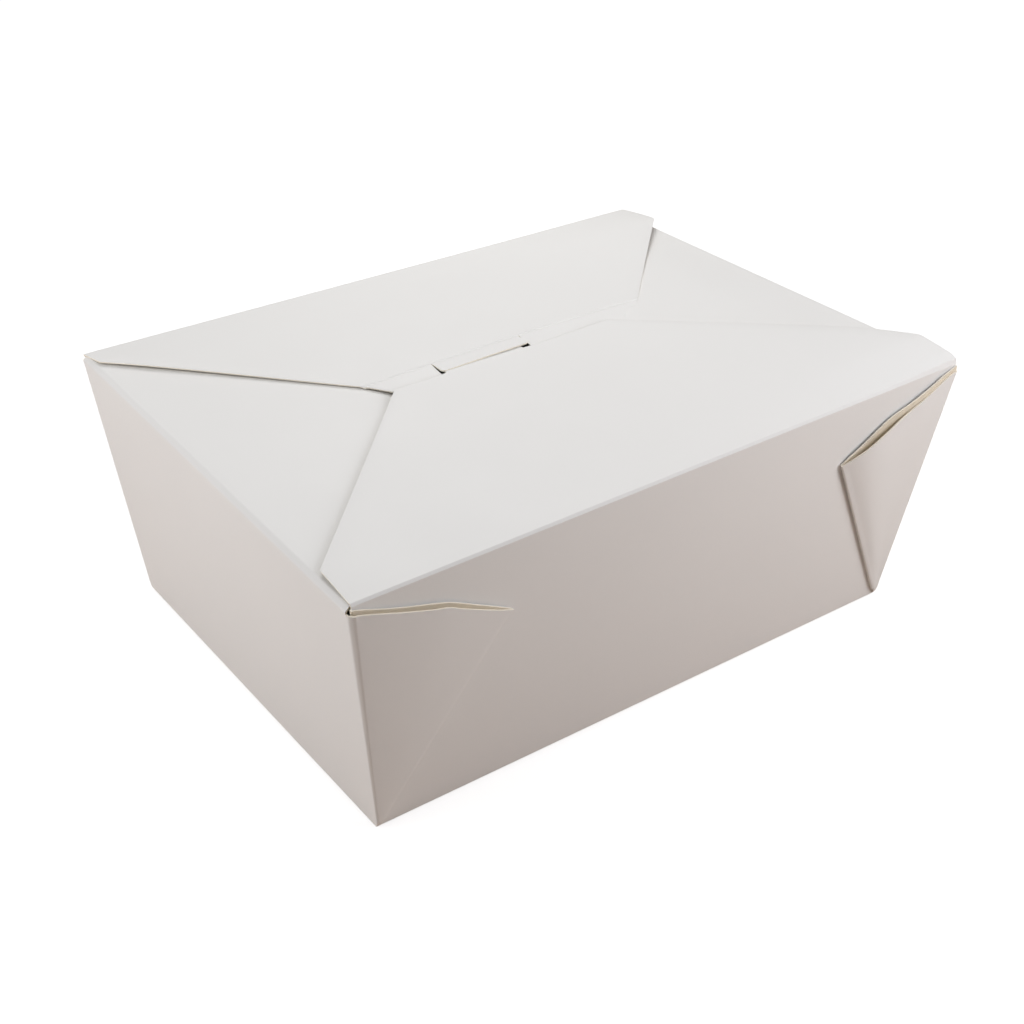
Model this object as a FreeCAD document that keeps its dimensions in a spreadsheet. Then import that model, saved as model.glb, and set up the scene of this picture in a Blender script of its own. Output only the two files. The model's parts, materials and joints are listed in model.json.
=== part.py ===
import FreeCAD, Part
import os
import Sketcher

from FreeCAD import Placement, Rotation, Vector

# Takeout food box: one die-cut sheet of white coated board, folded into a flared tray with
# webbed corners and four top flaps, and closed by a tab under a tongue. Millimetres, +Z up,
# origin at the middle of the base. X runs along the long front wall, which faces -Y.

SIZES = {
    # Tray, measured on its outside.
    "base_length": 197.0,
    "base_width": 142.0,
    "rim_length": 217.0,
    "rim_width": 161.5,
    "box_height": 87.0,
    "board": 0.45,
    # Corner webs: the diagonal fold, and the kink of the top edge in from and below the rim corner.
    "web_fold_length": 74.5,
    "web_kink_run": 26.5,
    "web_kink_drop": 12.0,
    # A web's pocket and the way into it from the inside, both as wide as they are at the rim.
    "pocket_gap": 1.6,
    "corner_slit": 1.0,
    # End flaps, folded in first. Their fold lies below the other flaps by this clearance.
    "end_flap_clearance": 0.125,
    "end_flap_depth": 67.5,
    "end_flap_inset": 6.0,
    "end_flap_shoulder": 14.0,
    "end_flap_free_edge": 100.0,
    "end_flap_dip_degrees": 2.0,
    # Back flap, from its fold to the crease, then the strip that is tucked under the front flap.
    "back_flap_inset": 0.5,
    "back_flap_shoulder": 13.0,
    "back_flap_crease": 69.3,
    "back_flap_crease_length": 117.0,
    "back_flap_rise_degrees": 1.35,
    "strip_depth": 15.5,
    "strip_free_edge": 90.0,
    "strip_clearance": 0.3,
    # Lock: the tongue stays level at the crease, and the front flap's tab lies under it.
    "lock_offset": -6.0,
    "lock_gap": 0.5,
    "lock_clearance": 0.15,
    "tongue_width": 35.0,
    "tongue_length": 6.5,
    "tongue_slit": 1.0,
    "tab_side_clearance": 1.0,
    "tab_length": 7.5,
    "tab_taper": 2.0,
    # Front flap, closed last.
    "front_flap_inset": 0.6,
    "front_flap_shoulder": 15.5,
    "front_flap_free_edge": 83.0,
    # Flap outlines.
    "shoulder_taper": 1.2,
    "flap_corner_radius": 4.0,
    "tongue_corner_radius": 1.5,
}

# Flare and slanted height of the walls, and the lean of their side edges.
END_FLARE = "atan((sizes.rim_length - sizes.base_length) / 2 / sizes.box_height)"
LONG_FLARE = "atan((sizes.rim_width - sizes.base_width) / 2 / sizes.box_height)"
LONG_SLANT = f"(sizes.box_height / cos({LONG_FLARE}))"
END_SLANT = f"(sizes.box_height / cos({END_FLARE}))"
LONG_SIDE_LEAN = f"atan((sizes.rim_length - sizes.base_length) / 2 / {LONG_SLANT})"
END_SIDE_LEAN = f"atan((sizes.rim_width - sizes.base_width) / 2 / {END_SLANT})"

# The end walls stop lower than the long ones, so that the end flaps lie under the others.
END_DROP = "(sizes.board * 3 / 2 + sizes.end_flap_clearance)"
END_SHARE = f"((sizes.box_height - {END_DROP}) / sizes.box_height)"

# A web fills the corner of the flat sheet, so its two layers have half of that angle each.
WEB_HALF_ANGLE = f"(45 deg - ({LONG_SIDE_LEAN} + {END_SIDE_LEAN}) / 2)"
WEB_FOLD_ANGLE = f"({WEB_HALF_ANGLE} - {LONG_SIDE_LEAN})"
POCKET_SPREAD = f"asin(sizes.pocket_gap / ({LONG_SLANT} * sin({WEB_HALF_ANGLE})))"

# The outer web layer starts a little inside the inner one, so that they join at the fold,
# and the end wall reaches as far as the outer layer's face.
WEB_SEAT = "(sizes.board * 0.6)"
END_WALL_REACH = "(sizes.board * 1.7)"

# The front flap ends just short of the tongue and rises as far as leaves the tab clear of it.
FLAP_SPAN = "(sizes.rim_width - sizes.back_flap_crease * cos(sizes.back_flap_rise_degrees))"
FRONT_DEPTH = f"({FLAP_SPAN} - sizes.tongue_length - sizes.lock_gap)"
CREASE_RISE = "(sizes.back_flap_crease * sin(sizes.back_flap_rise_degrees))"
FRONT_RISE = f"asin(({CREASE_RISE} - sizes.board * 3 / 2 - sizes.lock_clearance) / {FLAP_SPAN})"

# The strip falls from the crease as steeply as takes it under the front flap's free edge.
STRIP_DROP = f"(sizes.board / 2 + {CREASE_RISE} - {FRONT_DEPTH} * sin({FRONT_RISE}))"
STRIP_FALL = (
    "(sizes.back_flap_rise_degrees * 1 deg"
    f" + asin(({STRIP_DROP} + sizes.strip_clearance) / (sizes.tongue_length + sizes.lock_gap)))"
)

X_AXIS = Vector(1, 0, 0)
Y_AXIS = Vector(0, 1, 0)
Z_AXIS = Vector(0, 0, 1)

doc = FreeCAD.newDocument("takeout_food_box")
sheet = doc.addObject("Spreadsheet::Sheet", "sizes")
for row, (alias, value) in enumerate(SIZES.items(), start=1):
    sheet.set(f"A{row}", str(value))
    sheet.setAlias(f"A{row}", alias)
doc.recompute()


def origin_plane(body, role):
    """The body's own base plane of that role."""
    return next(plane for plane in body.Origin.OriginFeatures if plane.Role == role)


def attach(item, support, offset, axis, angle):
    """Attach item to a plane, shifted by offset and turned about one axis."""
    item.AttachmentSupport = (support, "")
    item.MapMode = "FlatFace"
    item.AttachmentOffset = Placement(Vector(0, 0, 0), Rotation(axis, 1.0))
    for name, expression in zip("xyz", offset):
        item.setExpression(f"AttachmentOffset.Base.{name}", expression)
    item.setExpression("AttachmentOffset.Rotation.Angle", angle)


def datum_plane(body, name, support, offset, axis, angle):
    """A plane that another plane or a sketch hangs from."""
    datum = body.newObject("PartDesign::Plane", name)
    attach(datum, support, offset, axis, angle)
    doc.recompute()
    return datum


def worth(expression):
    """What an expression comes to, in millimetres."""
    found = sheet.evalExpression(expression)
    return getattr(found, "Value", found)


def place_point(sketch, index, point):
    """Hold the start of line number index at a point given as two expressions."""
    for kind, axis, expression in (("DistanceX", -2, point[0]), ("DistanceY", -1, point[1])):
        if expression == "0":
            sketch.addConstraint(Sketcher.Constraint("PointOnObject", index, 1, axis))
            continue
        rule = Sketcher.Constraint(kind, -1, 1, index, 1, worth(expression))
        sketch.renameConstraint(sketch.addConstraint(rule), f"{kind}_{index}")
        sketch.setExpression(f"Constraints.{kind}_{index}", expression)


def round_corner(sketch, index, radius):
    """Round the start of line number index by the radius of that name."""
    arc = sketch.GeometryCount
    sketch.fillet(index, 1, getattr(sheet, radius), True, True)
    rule = Sketcher.Constraint("Radius", arc, getattr(sheet, radius))
    sketch.renameConstraint(sketch.addConstraint(rule), f"Corner_{index}")
    sketch.setExpression(f"Constraints.Corner_{index}", f"sizes.{radius}")


def outline(sketch, points, rounded):
    """Closed outline through points. Each corner named in rounded becomes an arc."""
    spots = [Vector(worth(point[0]), worth(point[1]), 0) for point in points]
    for start, end in zip(spots, spots[1:] + spots[:1]):
        sketch.addGeometry(Part.LineSegment(start, end), False)
    for index in range(len(points)):
        following = (index + 1) % len(points)
        sketch.addConstraint(Sketcher.Constraint("Coincident", index, 2, following, 1))
    for index, point in enumerate(points):
        place_point(sketch, index, point)
    for index, radius in rounded:
        round_corner(sketch, index, radius)


def panel(body, name, place, points, inward, rounded=()):
    """A flat panel of board: its outline lies on one face, the other is one board away."""
    sketch = body.newObject("Sketcher::SketchObject", f"{name}_outline")
    attach(sketch, *place)
    outline(sketch, points, rounded)
    pad = body.newObject("PartDesign::Pad", name)
    pad.Profile = sketch
    pad.setExpression("Length", "sizes.board")
    pad.Reversed = inward
    doc.recompute()
    body.Tip = pad
    return pad


def corners(indices, radius="flap_corner_radius"):
    """Those corners of an outline, all with one radius."""
    return [(index, radius) for index in indices]


def mirrored_in_x(points):
    """Points of the right half, and then their mirror images back to the start."""
    return points + [(f"-({along})", across) for along, across in reversed(points)]


def mirrored_in_y(points):
    """Points of the upper half, and then their mirror images back to the start."""
    return points + [(along, f"-({across})") for along, across in reversed(points)]


def mirror(body, name, features, role):
    """Mirror the features in the body's base plane of that role."""
    copy = body.newObject("PartDesign::Mirrored", name)
    copy.Originals = features
    copy.MirrorPlane = (origin_plane(body, role), [""])
    doc.recompute()
    body.Tip = copy


def base_and_long_walls(body):
    """The long walls stop short of the end walls toward the rim: the way into the webs."""
    ground = (origin_plane(body, "XY_Plane"), ("0", "0", "0"), X_AXIS, "0")
    half_length = "sizes.base_length / 2"
    base_points = [(half_length, "-sizes.base_width / 2"), (half_length, "sizes.base_width / 2")]
    panel(body, "base", ground, mirrored_in_x(base_points), False)
    front = origin_plane(body, "XZ_Plane")
    place = (front, ("0", "0", "sizes.base_width / 2"), X_AXIS, LONG_FLARE)
    top_half = "(sizes.rim_length / 2 - sizes.board - sizes.corner_slit)"
    top = f"({LONG_SLANT} - sizes.board * tan({LONG_FLARE}))"
    points = mirrored_in_x([(half_length, "0"), (top_half, top)])
    long_wall = panel(body, "long_wall", place, points, True)
    mirror(body, "back_wall", [long_wall], "XZ_Plane")


def ends(body):
    """End walls, which reach past the long walls to the outer web layers, and end flaps."""
    end = origin_plane(body, "YZ_Plane")
    place = (end, ("0", "0", "sizes.base_length / 2"), X_AXIS, END_FLARE)
    low_half = f"(sizes.base_width / 2 + {END_WALL_REACH})"
    high_half = (
        f"(sizes.base_width / 2 + (sizes.rim_width - sizes.base_width) / 2 * {END_SHARE}"
        f" + {END_WALL_REACH} + sizes.pocket_gap)"
    )
    points = mirrored_in_x([(low_half, "0"), (high_half, f"({END_SLANT} * {END_SHARE})")])
    end_wall = panel(body, "end_wall", place, points, True)

    fold_x = f"(sizes.rim_length / 2 - sizes.board / 2 - {END_DROP} * tan({END_FLARE}))"
    fold_z = f"(sizes.box_height - {END_DROP} + sizes.board / 2)"
    fold = (
        origin_plane(body, "XY_Plane"), (fold_x, "0", fold_z), Y_AXIS, "-sizes.end_flap_dip_degrees"
    )
    fold_half = "(sizes.rim_width / 2 - sizes.end_flap_inset)"
    flap_points = [
        ("0", fold_half),
        ("-sizes.end_flap_shoulder", f"({fold_half} - sizes.shoulder_taper)"),
        ("-sizes.end_flap_depth", "sizes.end_flap_free_edge / 2"),
    ]
    rounded = corners((1, 2, 3, 4))
    end_flap = panel(body, "end_flap", fold, mirrored_in_y(flap_points), True, rounded)
    mirror(body, "left_end", [end_wall, end_flap], "YZ_Plane")


def webs(body):
    """Four folded corner webs, flat against the long walls, each a pocket between two layers."""
    front = origin_plane(body, "XZ_Plane")
    corner = ("sizes.base_length / 2", "0", "sizes.base_width / 2")
    place = (front, corner, X_AXIS, LONG_FLARE)
    sine, cosine = f"sin({WEB_FOLD_ANGLE})", f"cos({WEB_FOLD_ANGLE})"
    lean = "(sizes.rim_length - sizes.base_length) / 2"
    kink_x, kink_y = f"({lean} - sizes.web_kink_run)", f"({LONG_SLANT} - sizes.web_kink_drop)"
    top_y = f"({LONG_SLANT} * {END_SHARE})"

    # The inner layer's edge goes with the long wall's, past the way into the pocket.
    inner_x = f"(({lean} - sizes.board - sizes.corner_slit) * {END_SHARE})"
    inner_points = [
        (f"-(sizes.board * {sine})", f"sizes.board * {cosine}"),
        (inner_x, top_y),
        (kink_x, kink_y),
        (f"-(sizes.web_fold_length * {sine})", f"sizes.web_fold_length * {cosine}"),
    ]
    inner = panel(body, "inner_web", place, inner_points, False)

    # The outer layer is turned about the diagonal fold, so its pocket widens to the corner.
    on_wall = datum_plane(body, "web_on_wall", *place)
    fold_place = (on_wall, ("0", "0", WEB_SEAT), Z_AXIS, WEB_FOLD_ANGLE)
    on_fold = datum_plane(body, "web_on_fold", *fold_place)
    spread = (on_fold, ("0", "0", "0"), Y_AXIS, f"-{POCKET_SPREAD}")
    outer_x = f"({lean} * {END_SHARE} - sizes.board / 2)"
    outer_points = [
        ("0", "sizes.board"),
        (f"{outer_x} * {cosine} + {top_y} * {sine}", f"{top_y} * {cosine} - {outer_x} * {sine}"),
        (f"{kink_x} * {cosine} + {kink_y} * {sine}", f"{kink_y} * {cosine} - {kink_x} * {sine}"),
        ("0", "sizes.web_fold_length"),
    ]
    outer = panel(body, "outer_web", spread, outer_points, False)

    four = body.newObject("PartDesign::MultiTransform", "four_webs")
    mirrors = []
    for role in ("XZ_Plane", "YZ_Plane"):
        copy = body.newObject("PartDesign::Mirrored", f"webs_in_{role}")
        copy.MirrorPlane = (origin_plane(body, role), [""])
        mirrors.append(copy)
    four.Originals = [inner, outer]
    four.Transformations = mirrors
    doc.recompute()
    body.Tip = four


def back_flap(body):
    """Back flap to its crease with the tongue, and the strip that folds down beyond it."""
    fold = ("0", "sizes.rim_width / 2", "sizes.box_height + sizes.board / 2")
    place = (origin_plane(body, "XY_Plane"), fold, X_AXIS, "-sizes.back_flap_rise_degrees")
    fold_half = "(sizes.rim_length / 2 - sizes.back_flap_inset)"
    shoulder_half = f"({fold_half} - sizes.shoulder_taper)"
    crease_half = "(sizes.back_flap_crease_length / 2)"
    crease = "-sizes.back_flap_crease"
    tip = "-(sizes.back_flap_crease + sizes.tongue_length)"
    right = "(sizes.lock_offset + sizes.tongue_width / 2)"
    left = "(sizes.lock_offset - sizes.tongue_width / 2)"
    points = [
        (fold_half, "0"),
        (f"-{fold_half}", "0"),
        (f"-{shoulder_half}", "-sizes.back_flap_shoulder"),
        (f"-{crease_half}", crease),
        (left, crease),
        (left, tip),
        (right, tip),
        (right, crease),
        (crease_half, crease),
        (shoulder_half, "-sizes.back_flap_shoulder"),
    ]
    rounded = corners((2, 9)) + corners((5, 6), "tongue_corner_radius")
    panel(body, "back_flap", place, points, True, rounded)

    # The strip hangs from the same upper face and leaves a slit round the tongue.
    upper_face = datum_plane(body, "back_flap_face", *place)
    slit_end = "-(sizes.tongue_length + sizes.tongue_slit)"
    slit_right = f"({right} + sizes.tongue_slit)"
    slit_left = f"({left} - sizes.tongue_slit)"
    strip_points = [
        (crease_half, "0"),
        (slit_right, "0"),
        (slit_right, slit_end),
        (slit_left, slit_end),
        (slit_left, "0"),
        (f"-{crease_half}", "0"),
        ("-sizes.strip_free_edge / 2", "-sizes.strip_depth"),
        ("sizes.strip_free_edge / 2", "-sizes.strip_depth"),
    ]
    strip_place = (upper_face, ("0", crease, "0"), X_AXIS, STRIP_FALL)
    panel(body, "strip", strip_place, strip_points, True, corners((6, 7)))


def front_flap_place(body):
    """The front flap's underside, which turns about the rim of the front wall."""
    fold = ("0", "-sizes.rim_width / 2", "sizes.box_height")
    return (origin_plane(body, "XY_Plane"), fold, X_AXIS, FRONT_RISE)


def make_carton():
    """The folded sheet but for its front flap."""
    body = doc.addObject("PartDesign::Body", "carton_body")
    base_and_long_walls(body)
    ends(body)
    webs(body)
    back_flap(body)
    body.Label = "carton"
    return body


def make_front_flap():
    """The flap that closes last and opens first."""
    body = doc.addObject("PartDesign::Body", "front_flap_body")
    fold_half = "(sizes.rim_length / 2 - sizes.front_flap_inset)"
    points = [
        (fold_half, "0"),
        (f"({fold_half} - sizes.shoulder_taper)", "sizes.front_flap_shoulder"),
        ("sizes.front_flap_free_edge / 2", FRONT_DEPTH),
    ]
    place = front_flap_place(body)
    panel(body, "front_flap_panel", place, mirrored_in_x(points), False, corners((1, 2, 3, 4)))
    body.Label = "front_flap"
    return body


def make_lock_tab():
    """The tab on the front flap's free edge, tucked under the tongue."""
    body = doc.addObject("PartDesign::Body", "lock_tab_body")
    half = "(sizes.tongue_width / 2 - sizes.tab_side_clearance)"
    tip = f"({FRONT_DEPTH} + sizes.tab_length)"
    points = [
        (f"sizes.lock_offset + {half}", FRONT_DEPTH),
        (f"sizes.lock_offset + {half} - sizes.tab_taper", tip),
        (f"sizes.lock_offset - {half} + sizes.tab_taper", tip),
        (f"sizes.lock_offset - {half}", FRONT_DEPTH),
    ]
    rounded = corners((1, 2), "tongue_corner_radius")
    panel(body, "lock_tab_panel", front_flap_place(body), points, False, rounded)
    body.Label = "lock_tab"
    return body


pieces = [make_carton(), make_front_flap(), make_lock_tab()]
doc.recompute()

for item in doc.Objects:
    if "Invalid" in item.State or "Error" in item.State:
        raise RuntimeError(f"{item.Name} failed: {item.State}")
for piece in pieces:
    if piece.Shape.isNull() or not piece.Shape.isValid():
        raise RuntimeError(f"{piece.Label} has no valid shape")
    if len(piece.Shape.Solids) != 1:
        raise RuntimeError(f"{piece.Label} is not one solid")

os.makedirs("parts", exist_ok=True)
for piece in pieces:
    piece.Shape.exportStep(f"parts/{piece.Label}.step")
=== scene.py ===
import json
import math

import bmesh
import bpy
import numpy as np
from mathutils import Matrix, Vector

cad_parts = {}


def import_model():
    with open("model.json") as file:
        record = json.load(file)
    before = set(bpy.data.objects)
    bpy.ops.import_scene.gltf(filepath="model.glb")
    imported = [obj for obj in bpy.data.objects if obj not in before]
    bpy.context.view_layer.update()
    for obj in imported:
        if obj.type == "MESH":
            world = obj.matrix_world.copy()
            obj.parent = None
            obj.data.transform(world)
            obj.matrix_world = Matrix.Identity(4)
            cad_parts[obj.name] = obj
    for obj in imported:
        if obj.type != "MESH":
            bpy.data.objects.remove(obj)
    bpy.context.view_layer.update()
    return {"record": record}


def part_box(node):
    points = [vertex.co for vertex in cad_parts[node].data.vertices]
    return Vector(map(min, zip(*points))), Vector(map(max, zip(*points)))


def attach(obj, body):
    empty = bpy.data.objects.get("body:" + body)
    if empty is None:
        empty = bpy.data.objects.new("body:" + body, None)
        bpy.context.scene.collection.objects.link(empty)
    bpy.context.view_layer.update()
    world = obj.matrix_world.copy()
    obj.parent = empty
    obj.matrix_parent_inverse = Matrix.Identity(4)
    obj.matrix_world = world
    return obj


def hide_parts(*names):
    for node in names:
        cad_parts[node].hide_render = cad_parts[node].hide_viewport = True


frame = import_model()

# Takeout food box in folded white board. Lengths are in millimetres until a mesh is made.
MM = 1000.0

# The tray and its rim, from the frame: the front flap's fold is the rim of the front wall,
# and the CAD flap is narrower than the rim by its inset at each end.
FRONT_FLAP_INSET = 0.6
fold_place = frame["record"]["behaviour"]["joints"][0]["pos_m"]
HEIGHT = fold_place[2] * MM
RIM_Y = -fold_place[1] * MM
RIM_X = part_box("front_flap")[1][0] * MM + FRONT_FLAP_INSET
BASE_X = 98.5
BASE_Y = 71.0
BOARD = 0.45

# A hand-folded box is never square: its base is turned a little against its rim.
BASE_SHIFTS = {
    (-1, -1): (0.7, 2.2),
    (-1, 1): (-3.4, 1.2),
    (1, -1): (-2.4, -3.0),
    (1, 1): (0.5, -1.5),
}

# Folds: their length round the bend, and how much of it is the flat band between two creases.
RIM_FOLD = 2.6
RIM_BAND = 0.4
BASE_FOLD = 1.5
BASE_BAND = 0.3
CORNER_BAND = 0.2
FOLD_POINTS = 9
RIM_POINTS = 13

# The rim fold has eased to its flap's width before its end.
RIM_EASE = 1.5

# How far the long walls stand out at the rim, and the slit between them and the end walls there.
WALL_SWELL = 0.8
CORNER_SLIT = 1.0

# Rows up the walls: how many as far as one height, and how many from the next height on.
LOW_ROWS = 9
LOW_ROWS_TOP = 12.0
HIGH_ROWS = 70
HIGH_ROWS_START = 13.0

# Rows of the base from its middle, and the least gap between rows beside a fold.
BASE_ROWS = 12
BASE_ROWS_MARGIN = 3.0
ROW_GAP = 0.05

# Points nearer than the first distance are joined, and slivers thinner than the second go.
JOIN_DISTANCE = 0.012
SLIVER = 0.004

# A row is on a line when it is closer than this to it, or to the top of an end.
HAIR = 1e-6
TOP_HAIR = 1e-3

# Webs: the cut top edges of their two layers as (x, height, offset from the wall's face),
# from the fold's tip to the corner, then the length of the bend round the box's corner and
# how far the outer layer draws back beside its fold. The left pair lies closer than the right.
WEBS = {
    -1: {
        "outer": (
            (60.0, 65.2, 1.6), (64.4, 67.2, 1.8), (71.0, 70.8, 2.2), (77.6, 74.6, 2.6),
            (80.9, 76.7, 2.7), (84.0, 77.4, 2.65), (89.5, 79.3, 2.5), (95.2, 81.3, 2.3),
            (100.8, 83.4, 2.0), (105.0, 84.8, 1.7), (106.2, 85.1, 1.5),
        ),
        "inner": (
            (60.0, 65.2, 0.6), (64.8, 68.1, 0.6), (70.3, 71.2, 0.65), (76.6, 74.9, 0.7),
            (80.6, 77.0, 0.7), (85.6, 78.7, 0.65), (91.3, 80.5, 0.6), (95.5, 82.0, 0.5),
            (99.6, 83.5, 0.4), (103.0, 85.0, 0.3), (106.6, 86.3, 0.15),
        ),
        "corner": 2.8,
        "ease": 0.35,
    },
    1: {
        "outer": (
            (62.2, 66.1, 1.35), (65.4, 68.4, 2.8), (68.2, 70.0, 3.4), (71.7, 71.9, 3.75),
            (75.8, 73.7, 3.5), (80.4, 75.6, 3.1), (84.0, 77.0, 2.6), (87.8, 78.1, 2.3),
            (91.6, 79.4, 2.1), (95.5, 80.9, 1.9), (99.2, 82.8, 1.7), (102.4, 84.3, 1.5),
            (105.6, 85.1, 1.3),
        ),
        "inner": (
            (62.2, 66.1, 0.4), (63.6, 67.6, 0.7), (66.5, 69.4, 1.0), (70.0, 71.5, 0.9),
            (74.3, 74.2, 0.85), (79.5, 77.3, 0.85), (83.4, 78.6, 0.9), (87.4, 79.8, 1.0),
            (91.4, 81.3, 1.0), (95.4, 82.8, 0.95), (99.4, 84.6, 0.8), (102.6, 85.9, 0.5),
            (106.6, 86.5, 0.15),
        ),
        "corner": 3.4,
        "ease": -0.22,
    },
}

# Web layers: how far off the wall they lie near the base corner, and how soft the kinks of
# their cut edges and of their gape are.
OUTER_STACK = 2.0 * BOARD + 0.1
INNER_STACK = 0.06
EDGE_SOFTNESS = 1.2
GAPE_SOFTNESS = 3.0

# They leave the wall's face over the first height. Below the second only the outer one is made.
WEB_ROOT = 3.5
WEB_START = 2.5
WEB_MARGIN = 0.4
LEAST_INNER = 0.1

# Beside its fold the outer layer draws back over this width, over this height from the base,
# and less over this height below the tip.
EASE_WIDTH = 0.9
EASE_HEIGHT = 10.0
EASE_TIP = 4.0

# Bend round the box's corner: its share at the base, its least length and how that grows with
# height, its most as a share of the outer layer, and where the layer's direction is taken.
CORNER_AT_BASE = 0.3
CORNER_LEAST = 0.3
CORNER_GROWTH = 0.1
CORNER_MOST = 1.5
CORNER_PROBE = 5.0

# Columns of one web, counted from the hem at the wall's edge to the corner.
HEM, INNER, SPINE, OUTER, BEND = 6, 14, 11, 18, 9
INNER_END = HEM + INNER - 1
OUTER_START = HEM + INNER + SPINE
WEB_END = OUTER_START + OUTER + BEND

# Columns of an end wall, and those that lead to it from each web.
END_COLUMNS = 31
LEAD = 2

# End flaps, as an outline of (half width, distance from the fold), then how far each rises
# under the long flaps and what share of that it loses again toward its free edge, and how
# soon it has risen.
END_SURFACE = HEIGHT - 0.1
END_FLAP = ((80.6, 0.0), (73.5, 9.0), (50.0, 67.5), (0.0, 67.5))
END_LIFT = {-1: (0.3, 0.5), 1: (1.1, 0.3)}
END_LIFT_SPEED = 2.4
END_ROWS = 26
END_ROWS_LAST = 60.0
END_EDGE_STEP = 1.5

# The end flaps' free edges dip to leave room for the strip.
STRIP_ROOM = 1.3
STRIP_ROOM_START = 57.5
STRIP_ROOM_RUN = 10.0

# Long flaps, as outlines of (x, distance from the fold) on each side.
BACK_LEFT = ((-108.6, 0.0), (-106.5, 10.0), (-49.3, 70.8))
BACK_RIGHT = ((108.6, 0.0), (109.0, 20.0), (57.9, 70.8))
FRONT_LEFT = ((-107.1, 0.0), (-106.4, 15.2), (-43.1, 84.0), (-30.0, 84.0))
FRONT_RIGHT = ((107.3, 0.0), (107.2, 14.0), (97.4, 26.6), (38.6, 84.0), (25.0, 84.0))
FLAP_CORNER = 2.6

# Cut edges are rolled down by the die: the roll's width and depth.
EDGE_ROLL = 0.6
EDGE_DROP = 0.11

# Back flap: its skew, its level at the fold and its rise to the crease, its bow, and how far
# it droops on both sides of its middle.
BACK_CREASE = 70.8
BACK_SKEW = 0.013
BACK_LEVEL = 0.5
BACK_RISE = 1.3
BACK_BOW = 0.4
BACK_DROOP = 0.9
BACK_DROOP_MIDDLE = 6.0
BACK_DROOP_RUN = 70.0
BACK_ROWS = 40
BACK_ROWS_START = 1.0
BACK_ROWS_LAST = 69.0
BACK_FOLD_REACH = 1.7
BACK_FOLD_RISE = 0.02

# Its corners stand up: the x where that starts, over how far it grows, its height, and how
# much of it is gone at the crease.
BACK_LIFTS = ((-25.0, -75.0, 0.7, 0.9), (40.0, 65.0, 2.1, 0.7))
BACK_LIFT_REACH = 18.0

# Crease, with the zone beside it that has closer rows, strip and tongue.
CREASE_DEPTH = 0.32
CREASE_WIDTH = 0.5
CREASE_ZONE = 1.2
STRIP_LEFT = ((-49.3, 0.0), (-43.4, 6.3), (-36.0, 15.0))
STRIP_RIGHT = ((57.9, 0.0), (43.0, 15.0))
STRIP_DEPTH = 15.0
STRIP_FALL = math.radians(8.6)
STRIP_BEND = 1.0
STRIP_ROWS = (7, 8, 8)
TONGUE = (-25.2, 7.3)
TONGUE_LENGTH = 6.5
TONGUE_CORNER = 1.0
TONGUE_SLIT = 0.4
SLIT_PAST_TONGUE = 1.2
TONGUE_ROWS = 13

# Front flap: its rise to the free edge and its bow.
FRONT_DEPTH = 84.0
FRONT_SKEW = 0.012
FRONT_RISE = 0.5
FRONT_BOW = 0.25
FRONT_ROWS = 48
FRONT_ROWS_MARGIN = 1.4
FRONT_EDGE_STEP = 1.2

# Its right side stands up, losing a share toward the free edge, and its left corner a little:
# the x where that starts, over how far it grows, and its height.
FRONT_RIGHT_LIFT = (15.0, 85.0, 3.6)
FRONT_RIGHT_FADE = 0.35
FRONT_LEFT_LIFT = (-40.0, -65.0, 0.5)
FRONT_LIFT_REACH = 13.5

# The right shoulder springs off its fold: the share of the lift that is there beside the fold,
# the x where that starts and over how far it grows. The fold itself has a share of that, and
# the rest follows within a short reach.
SPRING = 0.5
SPRING_START = 70.0
SPRING_RUN = 38.0
SPRING_ROOT = 0.6
SPRING_REACH = 1.8

# Front fold, in radians round the hinge line: where it starts, and where it has risen as far
# as the flap. Then its points, and how flat its middle is.
FRONT_FOLD_START = -0.15
FRONT_FOLD_RISE_END = 1.5
FRONT_FOLD_POINTS = 19
FRONT_FOLD_FLATNESS = 0.84

# Tab.
TAB = (-24.5, 4.2)
TAB_LENGTH = 8.0
TAB_CORNER = 2.5
TAB_FALL = 0.03
TAB_ROWS = 9

# Columns of a long flap on each side of its tongue or tab, and across it.
SIDE_COLUMNS = 19
MIDDLE_COLUMNS = 15
FIRST_MIDDLE = SIDE_COLUMNS - 1
LAST_MIDDLE = FIRST_MIDDLE + MIDDLE_COLUMNS - 1


def unit(vector):
    """Vector of length 1 in the same direction."""
    vector = np.asarray(vector, float)
    return vector / np.linalg.norm(vector)


def smooth(value):
    """Eases from 0 to 1."""
    value = np.clip(value, 0.0, 1.0)
    return value * value * (3.0 - 2.0 * value)


def fold(corner, before, after, length, band, count):
    """Points round a fold that replaces a sharp corner between two directions.

    The bend is in two creases with a flat band between them, as scored board folds.
    """
    before, after = unit(before), unit(after)
    angle = math.acos(float(np.clip(before @ after, -1.0, 1.0)))
    side = unit(after - (after @ before) * before)
    along = np.linspace(0.0, 1.0, count)
    crease = (1.0 - band) / 2.0
    turned = 0.5 * smooth(along / crease) + 0.5 * smooth((along - 1.0 + crease) / crease)
    steps = 0.5 * (turned[1:] + turned[:-1]) * angle
    run = np.concatenate([[0.0], np.cumsum(np.cos(steps))]) * length / (count - 1)
    rise = np.concatenate([[0.0], np.cumsum(np.sin(steps))]) * length / (count - 1)
    reach = math.hypot(run[-1], rise[-1]) / (2.0 * math.cos(angle / 2.0))
    start = np.asarray(corner, float) - reach * before
    return start + run[:, None] * before + rise[:, None] * side


def stretch(start, end, count):
    """Evenly spaced points from start to end, both included."""
    share = np.linspace(0.0, 1.0, count)[:, None]
    return np.asarray(start, float) * (1.0 - share) + np.asarray(end, float) * share


def across(lefts, rights, count):
    """Evenly spaced values from left to right in each row."""
    share = np.linspace(0.0, 1.0, count)[None, :]
    return lefts[:, None] * (1.0 - share) + rights[:, None] * share


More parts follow.
